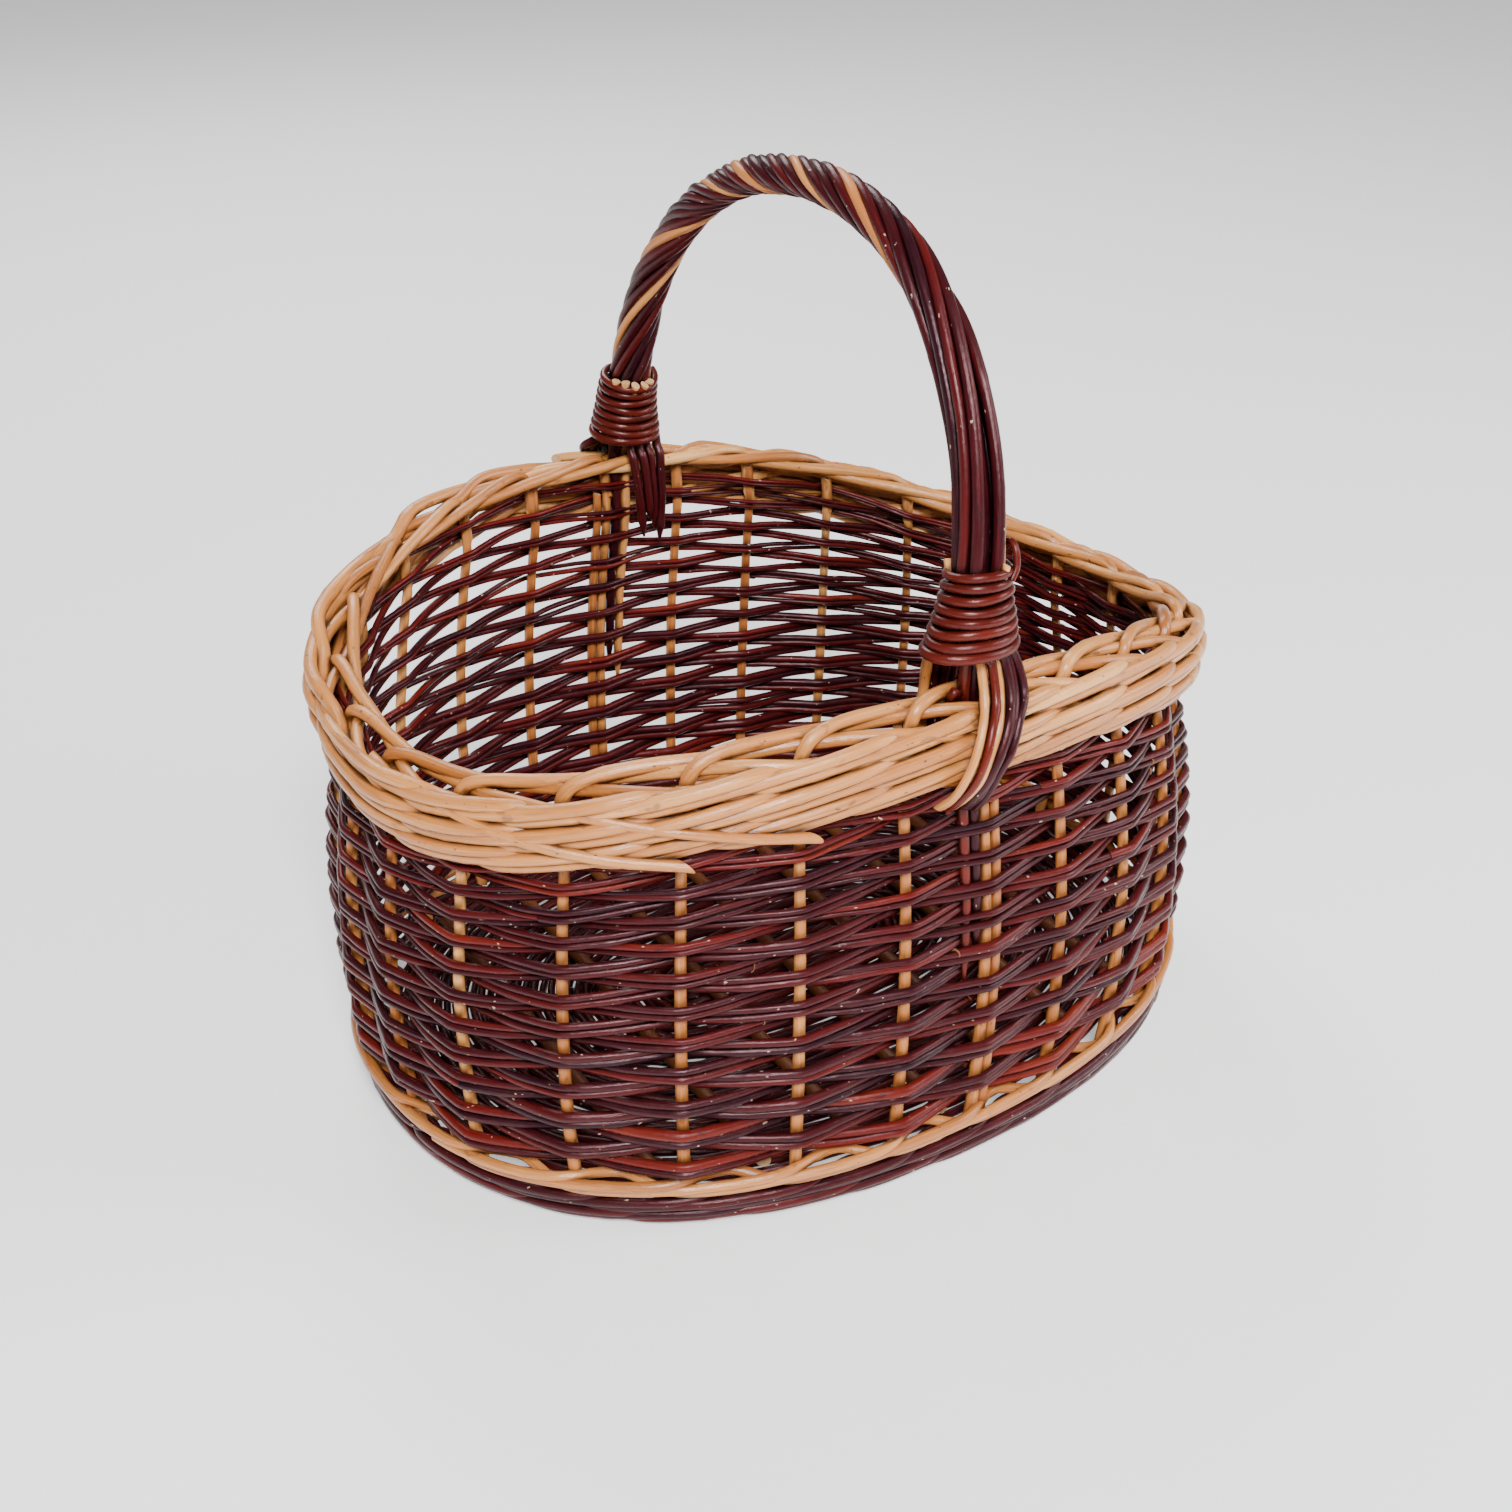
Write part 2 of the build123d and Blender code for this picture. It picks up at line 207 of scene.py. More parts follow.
class Bundle:
    """Collects the rods of one piece as one mesh."""

    made = []

    def __init__(self):
        self.v, self.q, self.caps = [], [], []
        self.tone, self.flow, self.cut = [], [], []
        self.rods = []
        self.n = 0

    def add(self, points, flow, tone, cut):
        """Adds vertices with their attributes; gives the number of the first."""
        first = self.n
        points = points.reshape(-1, 3)
        self.v.append(points)
        self.flow.append(flow.reshape(-1, 3))
        self.tone.append(np.full(len(points), tone))
        self.cut.append(np.full(len(points), cut))
        self.n += len(points)
        return first

    def rod(self, pts, r, sides=10, tone=None, flat=1.0, ends=("cut", "cut"), slope=0.5, lumps=0.05):
        """Adds a rod of radius r along pts; its ends are cut on a slope or pointed."""
        pts = np.asarray(pts, float)
        n = len(pts)
        run = along(pts)
        tan, nrm, side = sweep_frame(pts)
        rad = np.broadcast_to(np.asarray(r, float), (n,)) * swelling(run, lumps)
        th = np.linspace(0, 2 * np.pi, sides, endpoint=False) + rng.uniform(0, 1)
        ring = np.cos(th)[None, :, None] * nrm[:, None, :] + np.sin(th)[None, :, None] * flat * side[:, None, :]
        body = pts[:, None, :] + ring * rad[:, None, None]
        tone = rng.uniform(0, 1) if tone is None else tone
        seed = rng.uniform(0, 50)
        for end, i, sign in ((ends[0], 0, -1), (ends[1], n - 1, 1)):
            if end == "cut":
                lean = np.cos(th - rng.uniform(0, 6.28)) * slope * rad[i]
                body[i] += tan[i][None, :] * (lean * sign)[:, None]
            elif end == "point":
                k = min(5, n // 3)
                for j in range(k):
                    m = i - sign * j
                    body[m] = pts[m] + (body[m] - pts[m]) * (0.25 + 0.75 * j / k)
        # place on the bark: distance along the rod, then across it
        flow = np.zeros((n, sides, 3))
        flow[..., 0] = run[:, None]
        flow[..., 1] = np.cos(th)[None, :] * rad[:, None] + seed * 7
        flow[..., 2] = np.sin(th)[None, :] * rad[:, None] + seed * 13
        self.rods.append((pts, body, ring))
        base = self.add(body, flow, tone, 0.0)
        i, j = np.meshgrid(np.arange(n - 1), np.arange(sides), indexing="ij")
        nxt = (j + 1) % sides
        quads = np.stack([i * sides + j, i * sides + nxt, (i + 1) * sides + nxt, (i + 1) * sides + j], -1)
        self.q.append(quads.reshape(-1, 4) + base)
        for end, order in ((0, -1), (n - 1, 1)):
            first = self.add(body[end], flow[end], tone, 1.0)
            self.caps.append((np.arange(sides) + first)[::order])

    def piece(self, name, mat, nodes, slot):
        """Makes the mesh, rides it on the root and lets it stand for its nodes."""
        if not self.v:
            return
        v = np.concatenate(self.v) * MM
        q = np.concatenate(self.q)
        mesh = bpy.data.meshes.new(name)
        loops = np.concatenate([q.reshape(-1)] + self.caps).astype(np.int32)
        totals = np.concatenate([np.full(len(q), 4), [len(c) for c in self.caps]]).astype(np.int32)
        starts = np.concatenate([[0], np.cumsum(totals)[:-1]]).astype(np.int32)
        mesh.vertices.add(len(v))
        mesh.vertices.foreach_set("co", v.astype(np.float32).ravel())
        mesh.loops.add(len(loops))
        mesh.loops.foreach_set("vertex_index", loops)
        mesh.polygons.add(len(totals))
        mesh.polygons.foreach_set("loop_start", starts)
        mesh.update(calc_edges=True)
        mesh.polygons.foreach_set("use_smooth", np.arange(len(totals)) < len(q))
        for key, kind, data in (("tone", "FLOAT", np.concatenate(self.tone)),
                                ("cut", "FLOAT", np.concatenate(self.cut)),
                                ("flow", "FLOAT_VECTOR", np.concatenate(self.flow) * MM)):
            att = mesh.attributes.new(key, kind, "POINT")
            att.data.foreach_set("vector" if kind == "FLOAT_VECTOR" else "value",
                                 data.astype(np.float32).ravel())
        mesh.validate()
        mesh.materials.append(mat)
        Bundle.made.append((mesh, self.rods))
        obj = bpy.data.objects.new(name, mesh)
        bpy.context.scene.collection.objects.link(obj)
        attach(obj, "root")
        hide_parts(*nodes)


def curve(keys, count):
    """Smooth line through key points (Catmull-Rom), evenly sampled."""
    keys = np.asarray(keys, float)
    p = np.concatenate([[2 * keys[0] - keys[1]], keys, [2 * keys[-1] - keys[-2]]])
    t = np.linspace(0, 1, 16, endpoint=False)[:, None]
    out = []
    for a, b, c, d in zip(p[:-3], p[1:-2], p[2:-1], p[3:]):
        out.append(0.5 * (2 * b + (c - a) * t + (2 * a - 5 * b + 4 * c - d) * t ** 2
                          + (3 * b - a - 3 * c + d) * t ** 3))
    out = np.concatenate(out + [p[-2][None]])
    return evenly(out, count)


def evenly(pts, count):
    """The same line with its points at even distances."""
    run = along(pts)
    want = np.linspace(0, run[-1], count)
    return np.stack([np.interp(want, run, pts[:, k]) for k in range(pts.shape[1])], -1)


def wander(x, amount, period, seed):
    """Slow smooth noise along x."""
    g = np.random.default_rng(seed)
    total = 0
    for k in range(1, 4):
        total = total + np.sin(x * 2 * np.pi / period * k * g.uniform(0.7, 1.3) + g.uniform(0, 6.28)) / k
    return total * amount * 0.6


def stray(x, amount, period):
    """Wander that is different for each rod."""
    return wander(x, amount, period, int(rng.integers(1e9)))


def any_tone(mean, spread):
    return float(np.clip(rng.normal(mean, spread), 0, 1))


def steps(length, every=2.6):
    return max(8, int(length / every))


# ------------------------------------------------------------------ materials
def willow(name, stops, speck, speck_amount, rough, cut_rgb, streak_dark, bump=0.35, gloss=0.4,
           glint=(1, 1, 1)):
    """Willow bark or peeled willow. stops run from the darkest rod to the palest one."""
    mat = bpy.data.materials.new(name)
    mat.use_nodes = True
    nt = mat.node_tree
    nodes, links = nt.nodes, nt.links
    nodes.clear()

    def add(kind, **kw):
        node = nodes.new(kind)
        for k, v in kw.items():
            setattr(node, k, v)
        return node

    def math_(op, a, b=None, clamp=False):
        m = add("ShaderNodeMath", operation=op, use_clamp=clamp)
        for i, x in enumerate((a, b)):
            if x is None:
                continue
            if isinstance(x, (int, float)):
                m.inputs[i].default_value = x
            else:
                links.new(x, m.inputs[i])
        return m.outputs[0]

    def mix(fac, a, b, mode="MIX"):
        m = add("ShaderNodeMix", data_type="RGBA", blend_type=mode)
        if isinstance(fac, (int, float)):
            m.inputs[0].default_value = fac
        else:
            links.new(fac, m.inputs[0])
        for i, x in ((6, a), (7, b)):
            if isinstance(x, tuple):
                m.inputs[i].default_value = (*x, 1)
            else:
                links.new(x, m.inputs[i])
        return m.outputs[2]

    def noise(vec, scale, detail=3.0, rough_=0.55):
        m = add("ShaderNodeTexNoise")
        links.new(vec, m.inputs["Vector"])
        m.inputs["Scale"].default_value = scale
        m.inputs["Detail"].default_value = detail
        m.inputs["Roughness"].default_value = rough_
        return m.outputs[0]

    def ramp(x, lo, hi):
        m = add("ShaderNodeMapRange")
        links.new(x, m.inputs["Value"])
        m.inputs["From Min"].default_value = lo
        m.inputs["From Max"].default_value = hi
        return m.outputs[0]

    # kept per vertex: place on the bark, tone of the rod, cut end, and painted shade where its neighbours crowd
    # it
    flow = add("ShaderNodeAttribute", attribute_name="flow").outputs["Vector"]
    tone = add("ShaderNodeAttribute", attribute_name="tone").outputs["Fac"]
    cut = add("ShaderNodeAttribute", attribute_name="cut").outputs["Fac"]
    crevice_painted_shade = add("ShaderNodeAttribute", attribute_name="crevice_painted_shade").outputs["Fac"]

    def stretched(x, y):
        """The place on the bark, scaled by x along the rod and by y across it."""
        m = add("ShaderNodeMapping")
        links.new(flow, m.inputs["Vector"])
        m.inputs["Scale"].default_value = (x, y, y)
        return m.outputs[0]

    streaks = noise(stretched(35, 900), 1.0, 4.0, 0.6)
    patches = noise(stretched(16, 110), 1.0, 3.0, 0.55)
    fine = noise(stretched(260, 1500), 1.0, 3.0, 0.6)
    scars = noise(stretched(330, 520), 1.0, 1.5, 0.5)
    blots = noise(stretched(90, 160), 1.0, 2.0, 0.6)

    shade = math_("ADD", math_("MULTIPLY", tone, 0.72),
                  math_("MULTIPLY", math_("SUBTRACT", patches, 0.32), 0.75), clamp=True)
    colours = add("ShaderNodeValToRGB")
    links.new(shade, colours.inputs[0])
    el = colours.color_ramp.elements
    el[0].position, el[0].color = stops[0][0], (*stops[0][1], 1)
    el[1].position, el[1].color = stops[-1][0], (*stops[-1][1], 1)
    for pos, rgb in stops[1:-1]:
        e = el.new(pos)
        e.color = (*rgb, 1)
    col = colours.outputs[0]
    col = mix(math_("MULTIPLY", ramp(streaks, 0.52, 0.78), streak_dark), col,
              tuple(c * 0.42 for c in stops[len(stops) // 2][1]))
    col = mix(math_("MULTIPLY", ramp(streaks, 0.46, 0.28), 0.35), col,
              tuple(min(1, c * 1.35) for c in stops[-2][1]))
    col = mix(math_("MULTIPLY", ramp(blots, 0.66, 0.74), 0.55), col,
              tuple(c * 0.35 for c in stops[0][1]))
    col = mix(math_("MULTIPLY", ramp(scars, 0.735, 0.76), speck_amount), col, speck)
    ring_ = noise(stretched(600, 600), 1.0, 3.0, 0.6)
    end_col = mix(ramp(ring_, 0.35, 0.7), cut_rgb, tuple(c * 0.72 for c in cut_rgb))
    col = mix(cut, col, end_col)
    # painted shade: the colour is darkened towards near-black where neighbouring rods crowd the skin, standing in
    # for the shadow in the crevices
    col = mix(math_("MULTIPLY", crevice_painted_shade, 0.9), col, tuple(c * 0.22 for c in stops[0][1]))

    rough_v = math_("ADD", rough, math_("MULTIPLY", math_("SUBTRACT", blots, 0.5), 0.28))
    rough_v = math_("ADD", rough_v, math_("MULTIPLY", cut, 0.4), clamp=True)

    bmp = add("ShaderNodeBump")
    bmp.inputs["Strength"].default_value = bump
    bmp.inputs["Distance"].default_value = 0.0005
    height = math_("ADD", math_("MULTIPLY", streaks, 0.9),
                   math_("ADD", math_("MULTIPLY", fine, 0.35), math_("MULTIPLY", scars, 0.5)))
    links.new(height, bmp.inputs["Height"])

    bsdf = add("ShaderNodeBsdfPrincipled")
    links.new(col, bsdf.inputs["Base Color"])
    links.new(rough_v, bsdf.inputs["Roughness"])
    links.new(bmp.outputs[0], bsdf.inputs["Normal"])
    bsdf.inputs["IOR"].default_value = 1.5
    bsdf.inputs["Specular IOR Level"].default_value = gloss
    bsdf.inputs["Specular Tint"].default_value = (*glint, 1)
    out = add("ShaderNodeOutputMaterial")
    links.new(bsdf.outputs[0], out.inputs[0])
    return mat


DARK = willow("dark_willow_bark", [(0.0, (0.011, 0.0020, 0.0055)), (0.3, (0.031, 0.0028, 0.0048)),
                                   (0.58, (0.062, 0.0040, 0.0044)), (0.8, (0.105, 0.0065, 0.0044)),
                                   (1.0, (0.150, 0.016, 0.0065))],
              (0.50, 0.36, 0.25), 0.9, 0.33, (0.30, 0.15, 0.07), 0.55, 0.5, 0.30, (1.0, 0.66, 0.70))
RED = willow("red_willow_bark", [(0.0, (0.030, 0.0028, 0.0024)), (0.4, (0.058, 0.0048, 0.0034)),
                                 (0.7, (0.095, 0.0085, 0.0042)), (0.9, (0.13, 0.015, 0.006)),
                                 (1.0, (0.15, 0.025, 0.010))],
             (0.42, 0.26, 0.18), 0.5, 0.29, (0.40, 0.22, 0.10), 0.5, 0.4, 0.32, (1.0, 0.70, 0.70))
BUFF = willow("buff_willow", [(0.0, (0.30, 0.088, 0.016)), (0.3, (0.46, 0.155, 0.032)),
                              (0.6, (0.60, 0.235, 0.058)), (0.85, (0.72, 0.33, 0.100)),
                              (1.0, (0.82, 0.46, 0.180))],
              (0.12, 0.035, 0.010), 0.9, 0.34, (0.62, 0.36, 0.16), 0.75, 0.7, 0.62)
TAN = willow("tan_willow", [(0.0, (0.34, 0.095, 0.020)), (0.35, (0.46, 0.155, 0.036)),
                            (0.65, (0.56, 0.22, 0.058)), (0.9, (0.65, 0.29, 0.090)),
                            (1.0, (0.72, 0.37, 0.14))],
             (0.15, 0.035, 0.010), 0.8, 0.42, (0.62, 0.36, 0.16), 0.5, 0.5, 0.40)
# painted shade: a darker copy of the tan willow for the base's sticks, standing in for the dim light inside the
# basket
PAINTED_SHADE_TAN = willow("base_willow_in_painted_shade", [(0.0, (0.10, 0.025, 0.008)), (0.5, (0.17, 0.050, 0.014)),
                                (1.0, (0.24, 0.085, 0.026))],
                (0.05, 0.015, 0.006), 0.8, 0.5, (0.5, 0.30, 0.14), 0.4, 0.45, 0.3)



# ------------------------------------------------------------------ woven wall
def over_under(x, sharp=0.996):
    """Rounded zigzag with peaks at whole even x."""
    return np.arcsin(sharp * np.cos(np.pi * x)) / math.asin(sharp)


def row_height(j, x):
    """Height of the middle of woven row j; rows lie closer at the top, most on the -Y side."""
    f = (j + 0.5) / ROWS
    ease = (0.66 - 0.34 * np.sin(angle(post_share(np.asarray(x, float))))) * ROW_EASE
    f = (1 + ease) * f - ease * f * f
    return LOW + (RIM_Z + WEAVE_TOP - LOW) * f + (lip(x) - RIM_Z) * f ** 1.7


def weave_row(bundle, j):
    """One row: two rods side by side, over and under the uprights, each row of several lengths."""
    f = (j + 0.5) / ROWS
    pitch = (200 - LOW) * ((1 + ROW_EASE) - 2 * ROW_EASE * f) / ROWS
    start = int(rng.integers(STAKES))
    for m, side in ((0, -1), (1, 1)):
        made, k0 = 0, start + 7 * m
        while made < STAKES:
            count = min(int(rng.integers(12, 20)), STAKES - made)
            if STAKES - made - count < 4:
                count = STAKES - made
            k1 = k0 + count
            before, after = rng.uniform(0.10, 0.42), rng.uniform(0.10, 0.42)
            x = np.linspace(k0 - before, k1 + after, steps((count + before + after) * SPAN, 2.3))
            share = (x - x[0]) / (x[-1] - x[0])
            r0 = min(rng.uniform(0.225, 0.275) * pitch, 2.4)
            r = r0 * (1.12 - 0.26 * share) * (1.0 - 0.03 * np.cos(2 * np.pi * x / STAKES))
            out = over_under(x + j) * (2.8 + r0) + stray(x, 0.16, 1.9)
            apart = 0.97 * r0 + 0.12 * wander(x, 0.30, 5.0, 2000 + j)
            z = row_height(j, x) + apart * side
            z = z + wander(x, 0.75, 9.0, 1000 + j) + wander(x, 0.45, 2.1, 1100 + j)
            z = z + stray(x, 0.22, 2.3) + stray(x, 0.22, 6.0)
            tone = any_tone(0.40, 0.28)
            ends = ("point" if rng.uniform() < 0.35 else "cut", "cut")
            bundle.rod(place(x, z, out), r, sides=8, tone=tone, ends=ends)
            made += count
            k0 = k1


for c in range(COURSES):
    b = Bundle()
    weave_row(b, 2 * c)
    weave_row(b, 2 * c + 1)
    b.piece(f"weave_rods_{c + 1:02d}", DARK, [f"weave_course_{c + 1:02d}"], "dark_willow")


# ------------------------------------------------------------------ waling
def wale(bundle, height, r, rise, inner, outer, shift=0.0, dip=0.36, floor=None):
    """Three rods twined: each runs outside the uprights, climbing and moving out from outer[0] to
    outer[1], then dips inside to inner and starts again. height is a number or a function of x."""
    period = 3
    for n in range(period):
        for part in (0, 1):
            k0 = part * STAKES / 2 + n * 3.7 + shift
            x = np.linspace(k0 - 0.5, k0 + STAKES / 2 + 0.5, steps((STAKES / 2 + 1) * SPAN, 2.4))
            p = ((x + n + shift) / period) % 1.0
            gap = np.minimum(p, 1 - p) * period
            inside = np.exp(-(gap / dip) ** 2)
            out = (outer[0] + (outer[1] - outer[0]) * p) * (1 - inside) + inner * inside
            z = height(x) if callable(height) else height
            z = z + (2 * p - 1) * rise * (1 - np.exp(-(gap / (dip * 0.8)) ** 2))
            z = z + stray(x, 0.35, 4.0)
            out = out + stray(x, 0.25, 3.0)
            share = (x - x[0]) / (x[-1] - x[0])
            rr = r * rng.uniform(0.92, 1.08) * (1.07 - 0.16 * share)
            if floor is not None:
                z = np.maximum(z, floor + rr * 1.08)
            bundle.rod(place(x, z, out), rr, sides=12, tone=any_tone(0.46, 0.32), lumps=0.04)


b = Bundle()
wale(b, 5.4, 2.6, 2.9, -4.2, (4.0, 5.6), floor=0.0)
wale(b, 12.2, 2.5, 3.3, -4.6, (4.5, 6.2), shift=1.4)
b.piece("foot_wale_rods", DARK, ["foot_wale"], "dark_willow")
b = Bundle()
wale(b, 22.0, 2.4, 4.6, -4.9, (4.9, 7.4), shift=0.6)
b.piece("light_wale_rods", BUFF, ["light_wale"], "light_willow")


# ------------------------------------------------------------------ uprights
def upright(bundle, k, dx=0.0, r=2.75, top=24.0):
    """Upright k, moved by dx, ending top above the rim's lower edge."""
    z = np.linspace(8.0, float(lip(k)) + top, 46)
    pts = place(np.full_like(z, k), z, wander(z, 0.25, 90.0, 90 + k))
    pts[:, 0] += dx
    pts[:, :2] += wander(z, 0.25, 120.0, 140 + k)[:, None] * 0.7
    bundle.rod(pts, r * np.linspace(1.08, 0.82, len(z)), sides=12, flat=0.92, lumps=0.03)


groups = {"front": [], "back": [], "left_end": [], "right_end": []}
for k in range(STAKES):
    x, y = oval(float(angle(k / STAKES)), RIM_A, RIM_B)
    if abs(x) > 0.62 * RIM_A:
        groups["right_end" if x > 0 else "left_end"].append(k)
    else:
        groups["back" if y > 0 else "front"].append(k)
for name, members in groups.items():
    b = Bundle()
    for k in members:
        upright(b, k)
    b.piece(f"upright_rods_{name}", TAN, [f"stakes_{name}"], "light_willow")

LINER = 5.3                                   # the liners stand this far beside their uprights
b = Bundle()
for k, dx in ((0, -LINER), (MIDDLE, LINER)):
    upright(b, k, dx=dx, r=2.6, top=12.0)
b.piece("liner_rods", TAN, ["handle_liners"], "light_willow")

# ------------------------------------------------------------------ rim
# three rounds of heavy rods: height over the rim's lower edge, and how far out they run
for n, (rise, outer) in enumerate(((3.4, (8.9, 14.6)), (13.8, (9.9, 16.2)), (24.2, (9.0, 14.2)))):
    b = Bundle()
    wale(b, lambda x, rise=rise: lip(x) + rise, 2.9, 7.0, 7.4, outer, dip=0.42)
    b.piece(f"rim_rods_{n + 1}", BUFF, [f"rim_round_{n + 1}"], "light_willow")

# border: the tops of the uprights folded over one another; a few ends hang below the band
LOOSE_ENDS = (5, 6, 21, 24)
BORDER_DIP = 5.0                              # lower by this towards the rear of the left end
BEND = SPAN / 8                               # unit of length along the border
b = Bundle()
for k in range(STAKES):
    hang = k in LOOSE_ENDS
    # way along the rim in uprights, out from the wall, height over the rim's lower edge
    way = np.array([0.0, 0.01, 0.05, 0.16, 0.42, 0.85, 1.3, 1.75, 2.1, 2.45, 2.8, 3.2, 3.8, 4.5, 5.0])
    out = np.array([0.6, 1.2, 1.6, 0.4, -2.6, -5.2, -5.8, -4.6, -1.4, 4.4, 9.2, 11.0, 9.6, 8.2, 7.4])
    if hang:
        out[-4:] = 12.4, 14.6, 15.6, 15.2
    up = np.array([10.0, 21.0, 29.5, 33.6, 34.6, 32.8, 30.8, 29.6, 29.6, 30.6, 29.4, 25.0, 17.0, 8.0, 3.0])
    up[-3:] += (rng.uniform(-8.0, -5.0) if hang else rng.uniform(-3.0, 4.0)) * np.array([0.3, 0.8, 1.0])
    keys = curve(np.stack([way * BEND, out, up], -1), 100) / np.array([BEND, 1, 1])
    way, out, up = keys.T
    x = k + way + rng.uniform(-0.03, 0.03)
    z = lip(x) + up + wander(way, 0.5, 3.0, 300 + k)
    z = z - 1.0 - BORDER_DIP * np.clip(np.cos(angle(post_share(x)) - 0.8 * math.pi), 0, 1)
    out = out + wander(way, 0.6, 3.5, 400 + k)
    pts = curve(place(x, z, out), 90)
    r = rng.uniform(2.5, 3.0) * np.linspace(1.06, 0.86, 90)
    b.rod(pts, r, sides=12, tone=any_tone(0.46, 0.30), slope=1.5, lumps=0.03)
b.piece("border_rods", BUFF, ["border"], "light_willow")


# ------------------------------------------------------------------ handle
def arch(s):
    """Rope centre line; s = 0 at the -Y foot, 1 at the +Y foot."""
    th = np.pi * (1 - np.asarray(s, float))
    c, q = np.cos(th), np.sin(th)
    p = 2.0 / ARCH_EXP
    return np.stack([LEAN_X * q + SWAY_X * np.sin(2 * th),
                     LEAN_Y * q + ARCH_Y * np.sign(c) * np.abs(c) ** p,
                     ARCH_Z0 + (ARCH_TOP - ARCH_Z0) * np.abs(q) ** p], -1)


def arch_share(z, front):
    """The s at which the arch is at height z, on its front or its rear half."""
    lo, hi = 0.0, 0.5
    for _ in range(40):
        m = (lo + hi) / 2
        if arch(m if front else 1 - m)[2] < z:
            lo = m
        else:
            hi = m
    return lo if front else 1 - lo


def across(tan):
    """Two unit vectors across each tangent, the first one as near to +X as it can be."""
    n1 = np.array([1.0, 0, 0]) - tan * tan[..., :1]
    n1 /= np.linalg.norm(n1, axis=-1, keepdims=True)
    return n1, np.cross(tan, n1)


COUNT = 150
line = evenly(arch(np.linspace(arch_share(ROPE_FOOT, True), arch_share(ROPE_FOOT, False), COUNT)), COUNT)
tan = np.gradient(line, axis=0)
tan /= np.linalg.norm(tan, axis=1)[:, None]
n1, n2 = across(tan)

share = np.linspace(0, 1, COUNT)
# turns per rope length: nearly straight at the front foot, tight over the crest, looser down the rear leg
rate = np.interp(share, [0, 0.22, 0.34, 0.44, 0.52, 0.62, 0.70, 0.80, 1.0],
                 [0.35, 0.5, 2.6, 4.4, 6.6, 7.6, 4.2, 3.1, 2.7])
turn = np.concatenate([[0], np.cumsum((rate[1:] + rate[:-1]) / 2 * np.diff(share))])
rope_r = np.interp(share, [0, 0.12, 0.3, 0.5, 0.62, 0.8, 1.0], [8.5, 8.4, 7.2, 6.0, 6.0, 6.8, 8.2])
strand_r = np.interp(share, [0, 0.5, 1], [2.6, 2.2, 2.4])
STRANDS = 10
LIGHT_STRANDS = {0: 0.35, 6: 0.65}            # which strands are peeled, and their tone
dark, light = Bundle(), Bundle()
for i in range(STRANDS):
    late = 0.12 * (i == 6) * np.clip((0.48 - share) / 0.15, 0, 1)
    ph = 2 * np.pi * (0.09 + i / STRANDS + turn + late) + wander(share, 0.10, 0.6, 700 + i)
    rr = rope_r + wander(share, 0.45, 0.4, 800 + i)
    pts = line + n1 * (np.cos(ph) * rr)[:, None] + n2 * (np.sin(ph) * rr)[:, None]
    r = strand_r * rng.uniform(0.9, 1.12)
    if i in LIGHT_STRANDS:
        light.rod(pts, r * 0.95, sides=14, tone=LIGHT_STRANDS[i], lumps=0.03)
    else:
        dark.rod(pts, r, sides=14, tone=any_tone(0.38, 0.24), lumps=0.03)
dark.piece("rope_dark_strands", DARK, ["handle_rope"], "dark_willow")
light.piece("rope_light_strands", TAN, ["handle_rope"], "light_willow")
b = Bundle()
b.rod(line, 4.6, sides=12, tone=0.2)
b.piece("core_rod", DARK, ["handle_core"], "dark_willow")


# ------------------------------------------------------------------ bindings
def frame_at(ss, front):
    """Centre, tangent pointing up and two normals of the arch at ss."""
    c = arch(ss)
    step = 1e-3 if front else -1e-3
    up = arch(ss + step) - arch(ss - step)
    up /= np.linalg.norm(up, axis=-1, keepdims=True)
    return c, up, *across(up)


def binding(front, rx, ry, lean, r, turns=8):
    """One long rod wound round the arch; rx and ry are its (lower, upper) half widths."""
    b = Bundle()
    m = turns * 30
    a = np.linspace(0, 2 * np.pi * turns, m)
    f = a / a[-1]
    z = ROPE_FOOT + 1.0 + turns * 4.25 * f
    c, up, ex, ey = frame_at(np.array([arch_share(v, front) for v in z]), front)
    grow = (1 - f) ** 1.4
    wx = rx[1] + (rx[0] - rx[1]) * grow + wander(a, 0.45, 9.0, 901 + front)
    wy = ry[1] + (ry[0] - ry[1]) * grow + wander(a, 0.35, 8.0, 905 + front)
    pts = c + ex * (np.cos(a) * wx)[:, None] + ey * (np.sin(a) * wy)[:, None]
    pts[:, 2] += lean * np.cos(a) * (0.4 + grow) + wander(a, 0.6, 5.0, 907 + front)
    b.rod(pts, r * np.linspace(1.08, 0.86, m), sides=12, tone=0.55, lumps=0.05)
    return b


b = binding(True, (20.5, 12.2), (14.2, 11.8), 1.3, 2.25)
# its end is tucked back over the top turn
top = arch(arch_share(ROPE_FOOT + 38, True))
loop = [(8.5, -10.5, -7), (11.5, -9.5, -2), (12.5, -7.0, 4.0), (12.5, -3.5, 6.5), (11.5, 1.0, 3), (10.5, 4.0, -4)]
b.rod(curve([top + np.array(p) for p in loop], 30), 1.6, sides=10, tone=0.6)
b.piece("binding_front_rod", RED, ["handle_binding_front"], "dark_willow")
b = binding(False, (16.2, 12.6), (14.6, 12.0), -1.6, 2.1)
b.piece("binding_rear_rod", RED, ["handle_binding_rear"], "dark_willow")

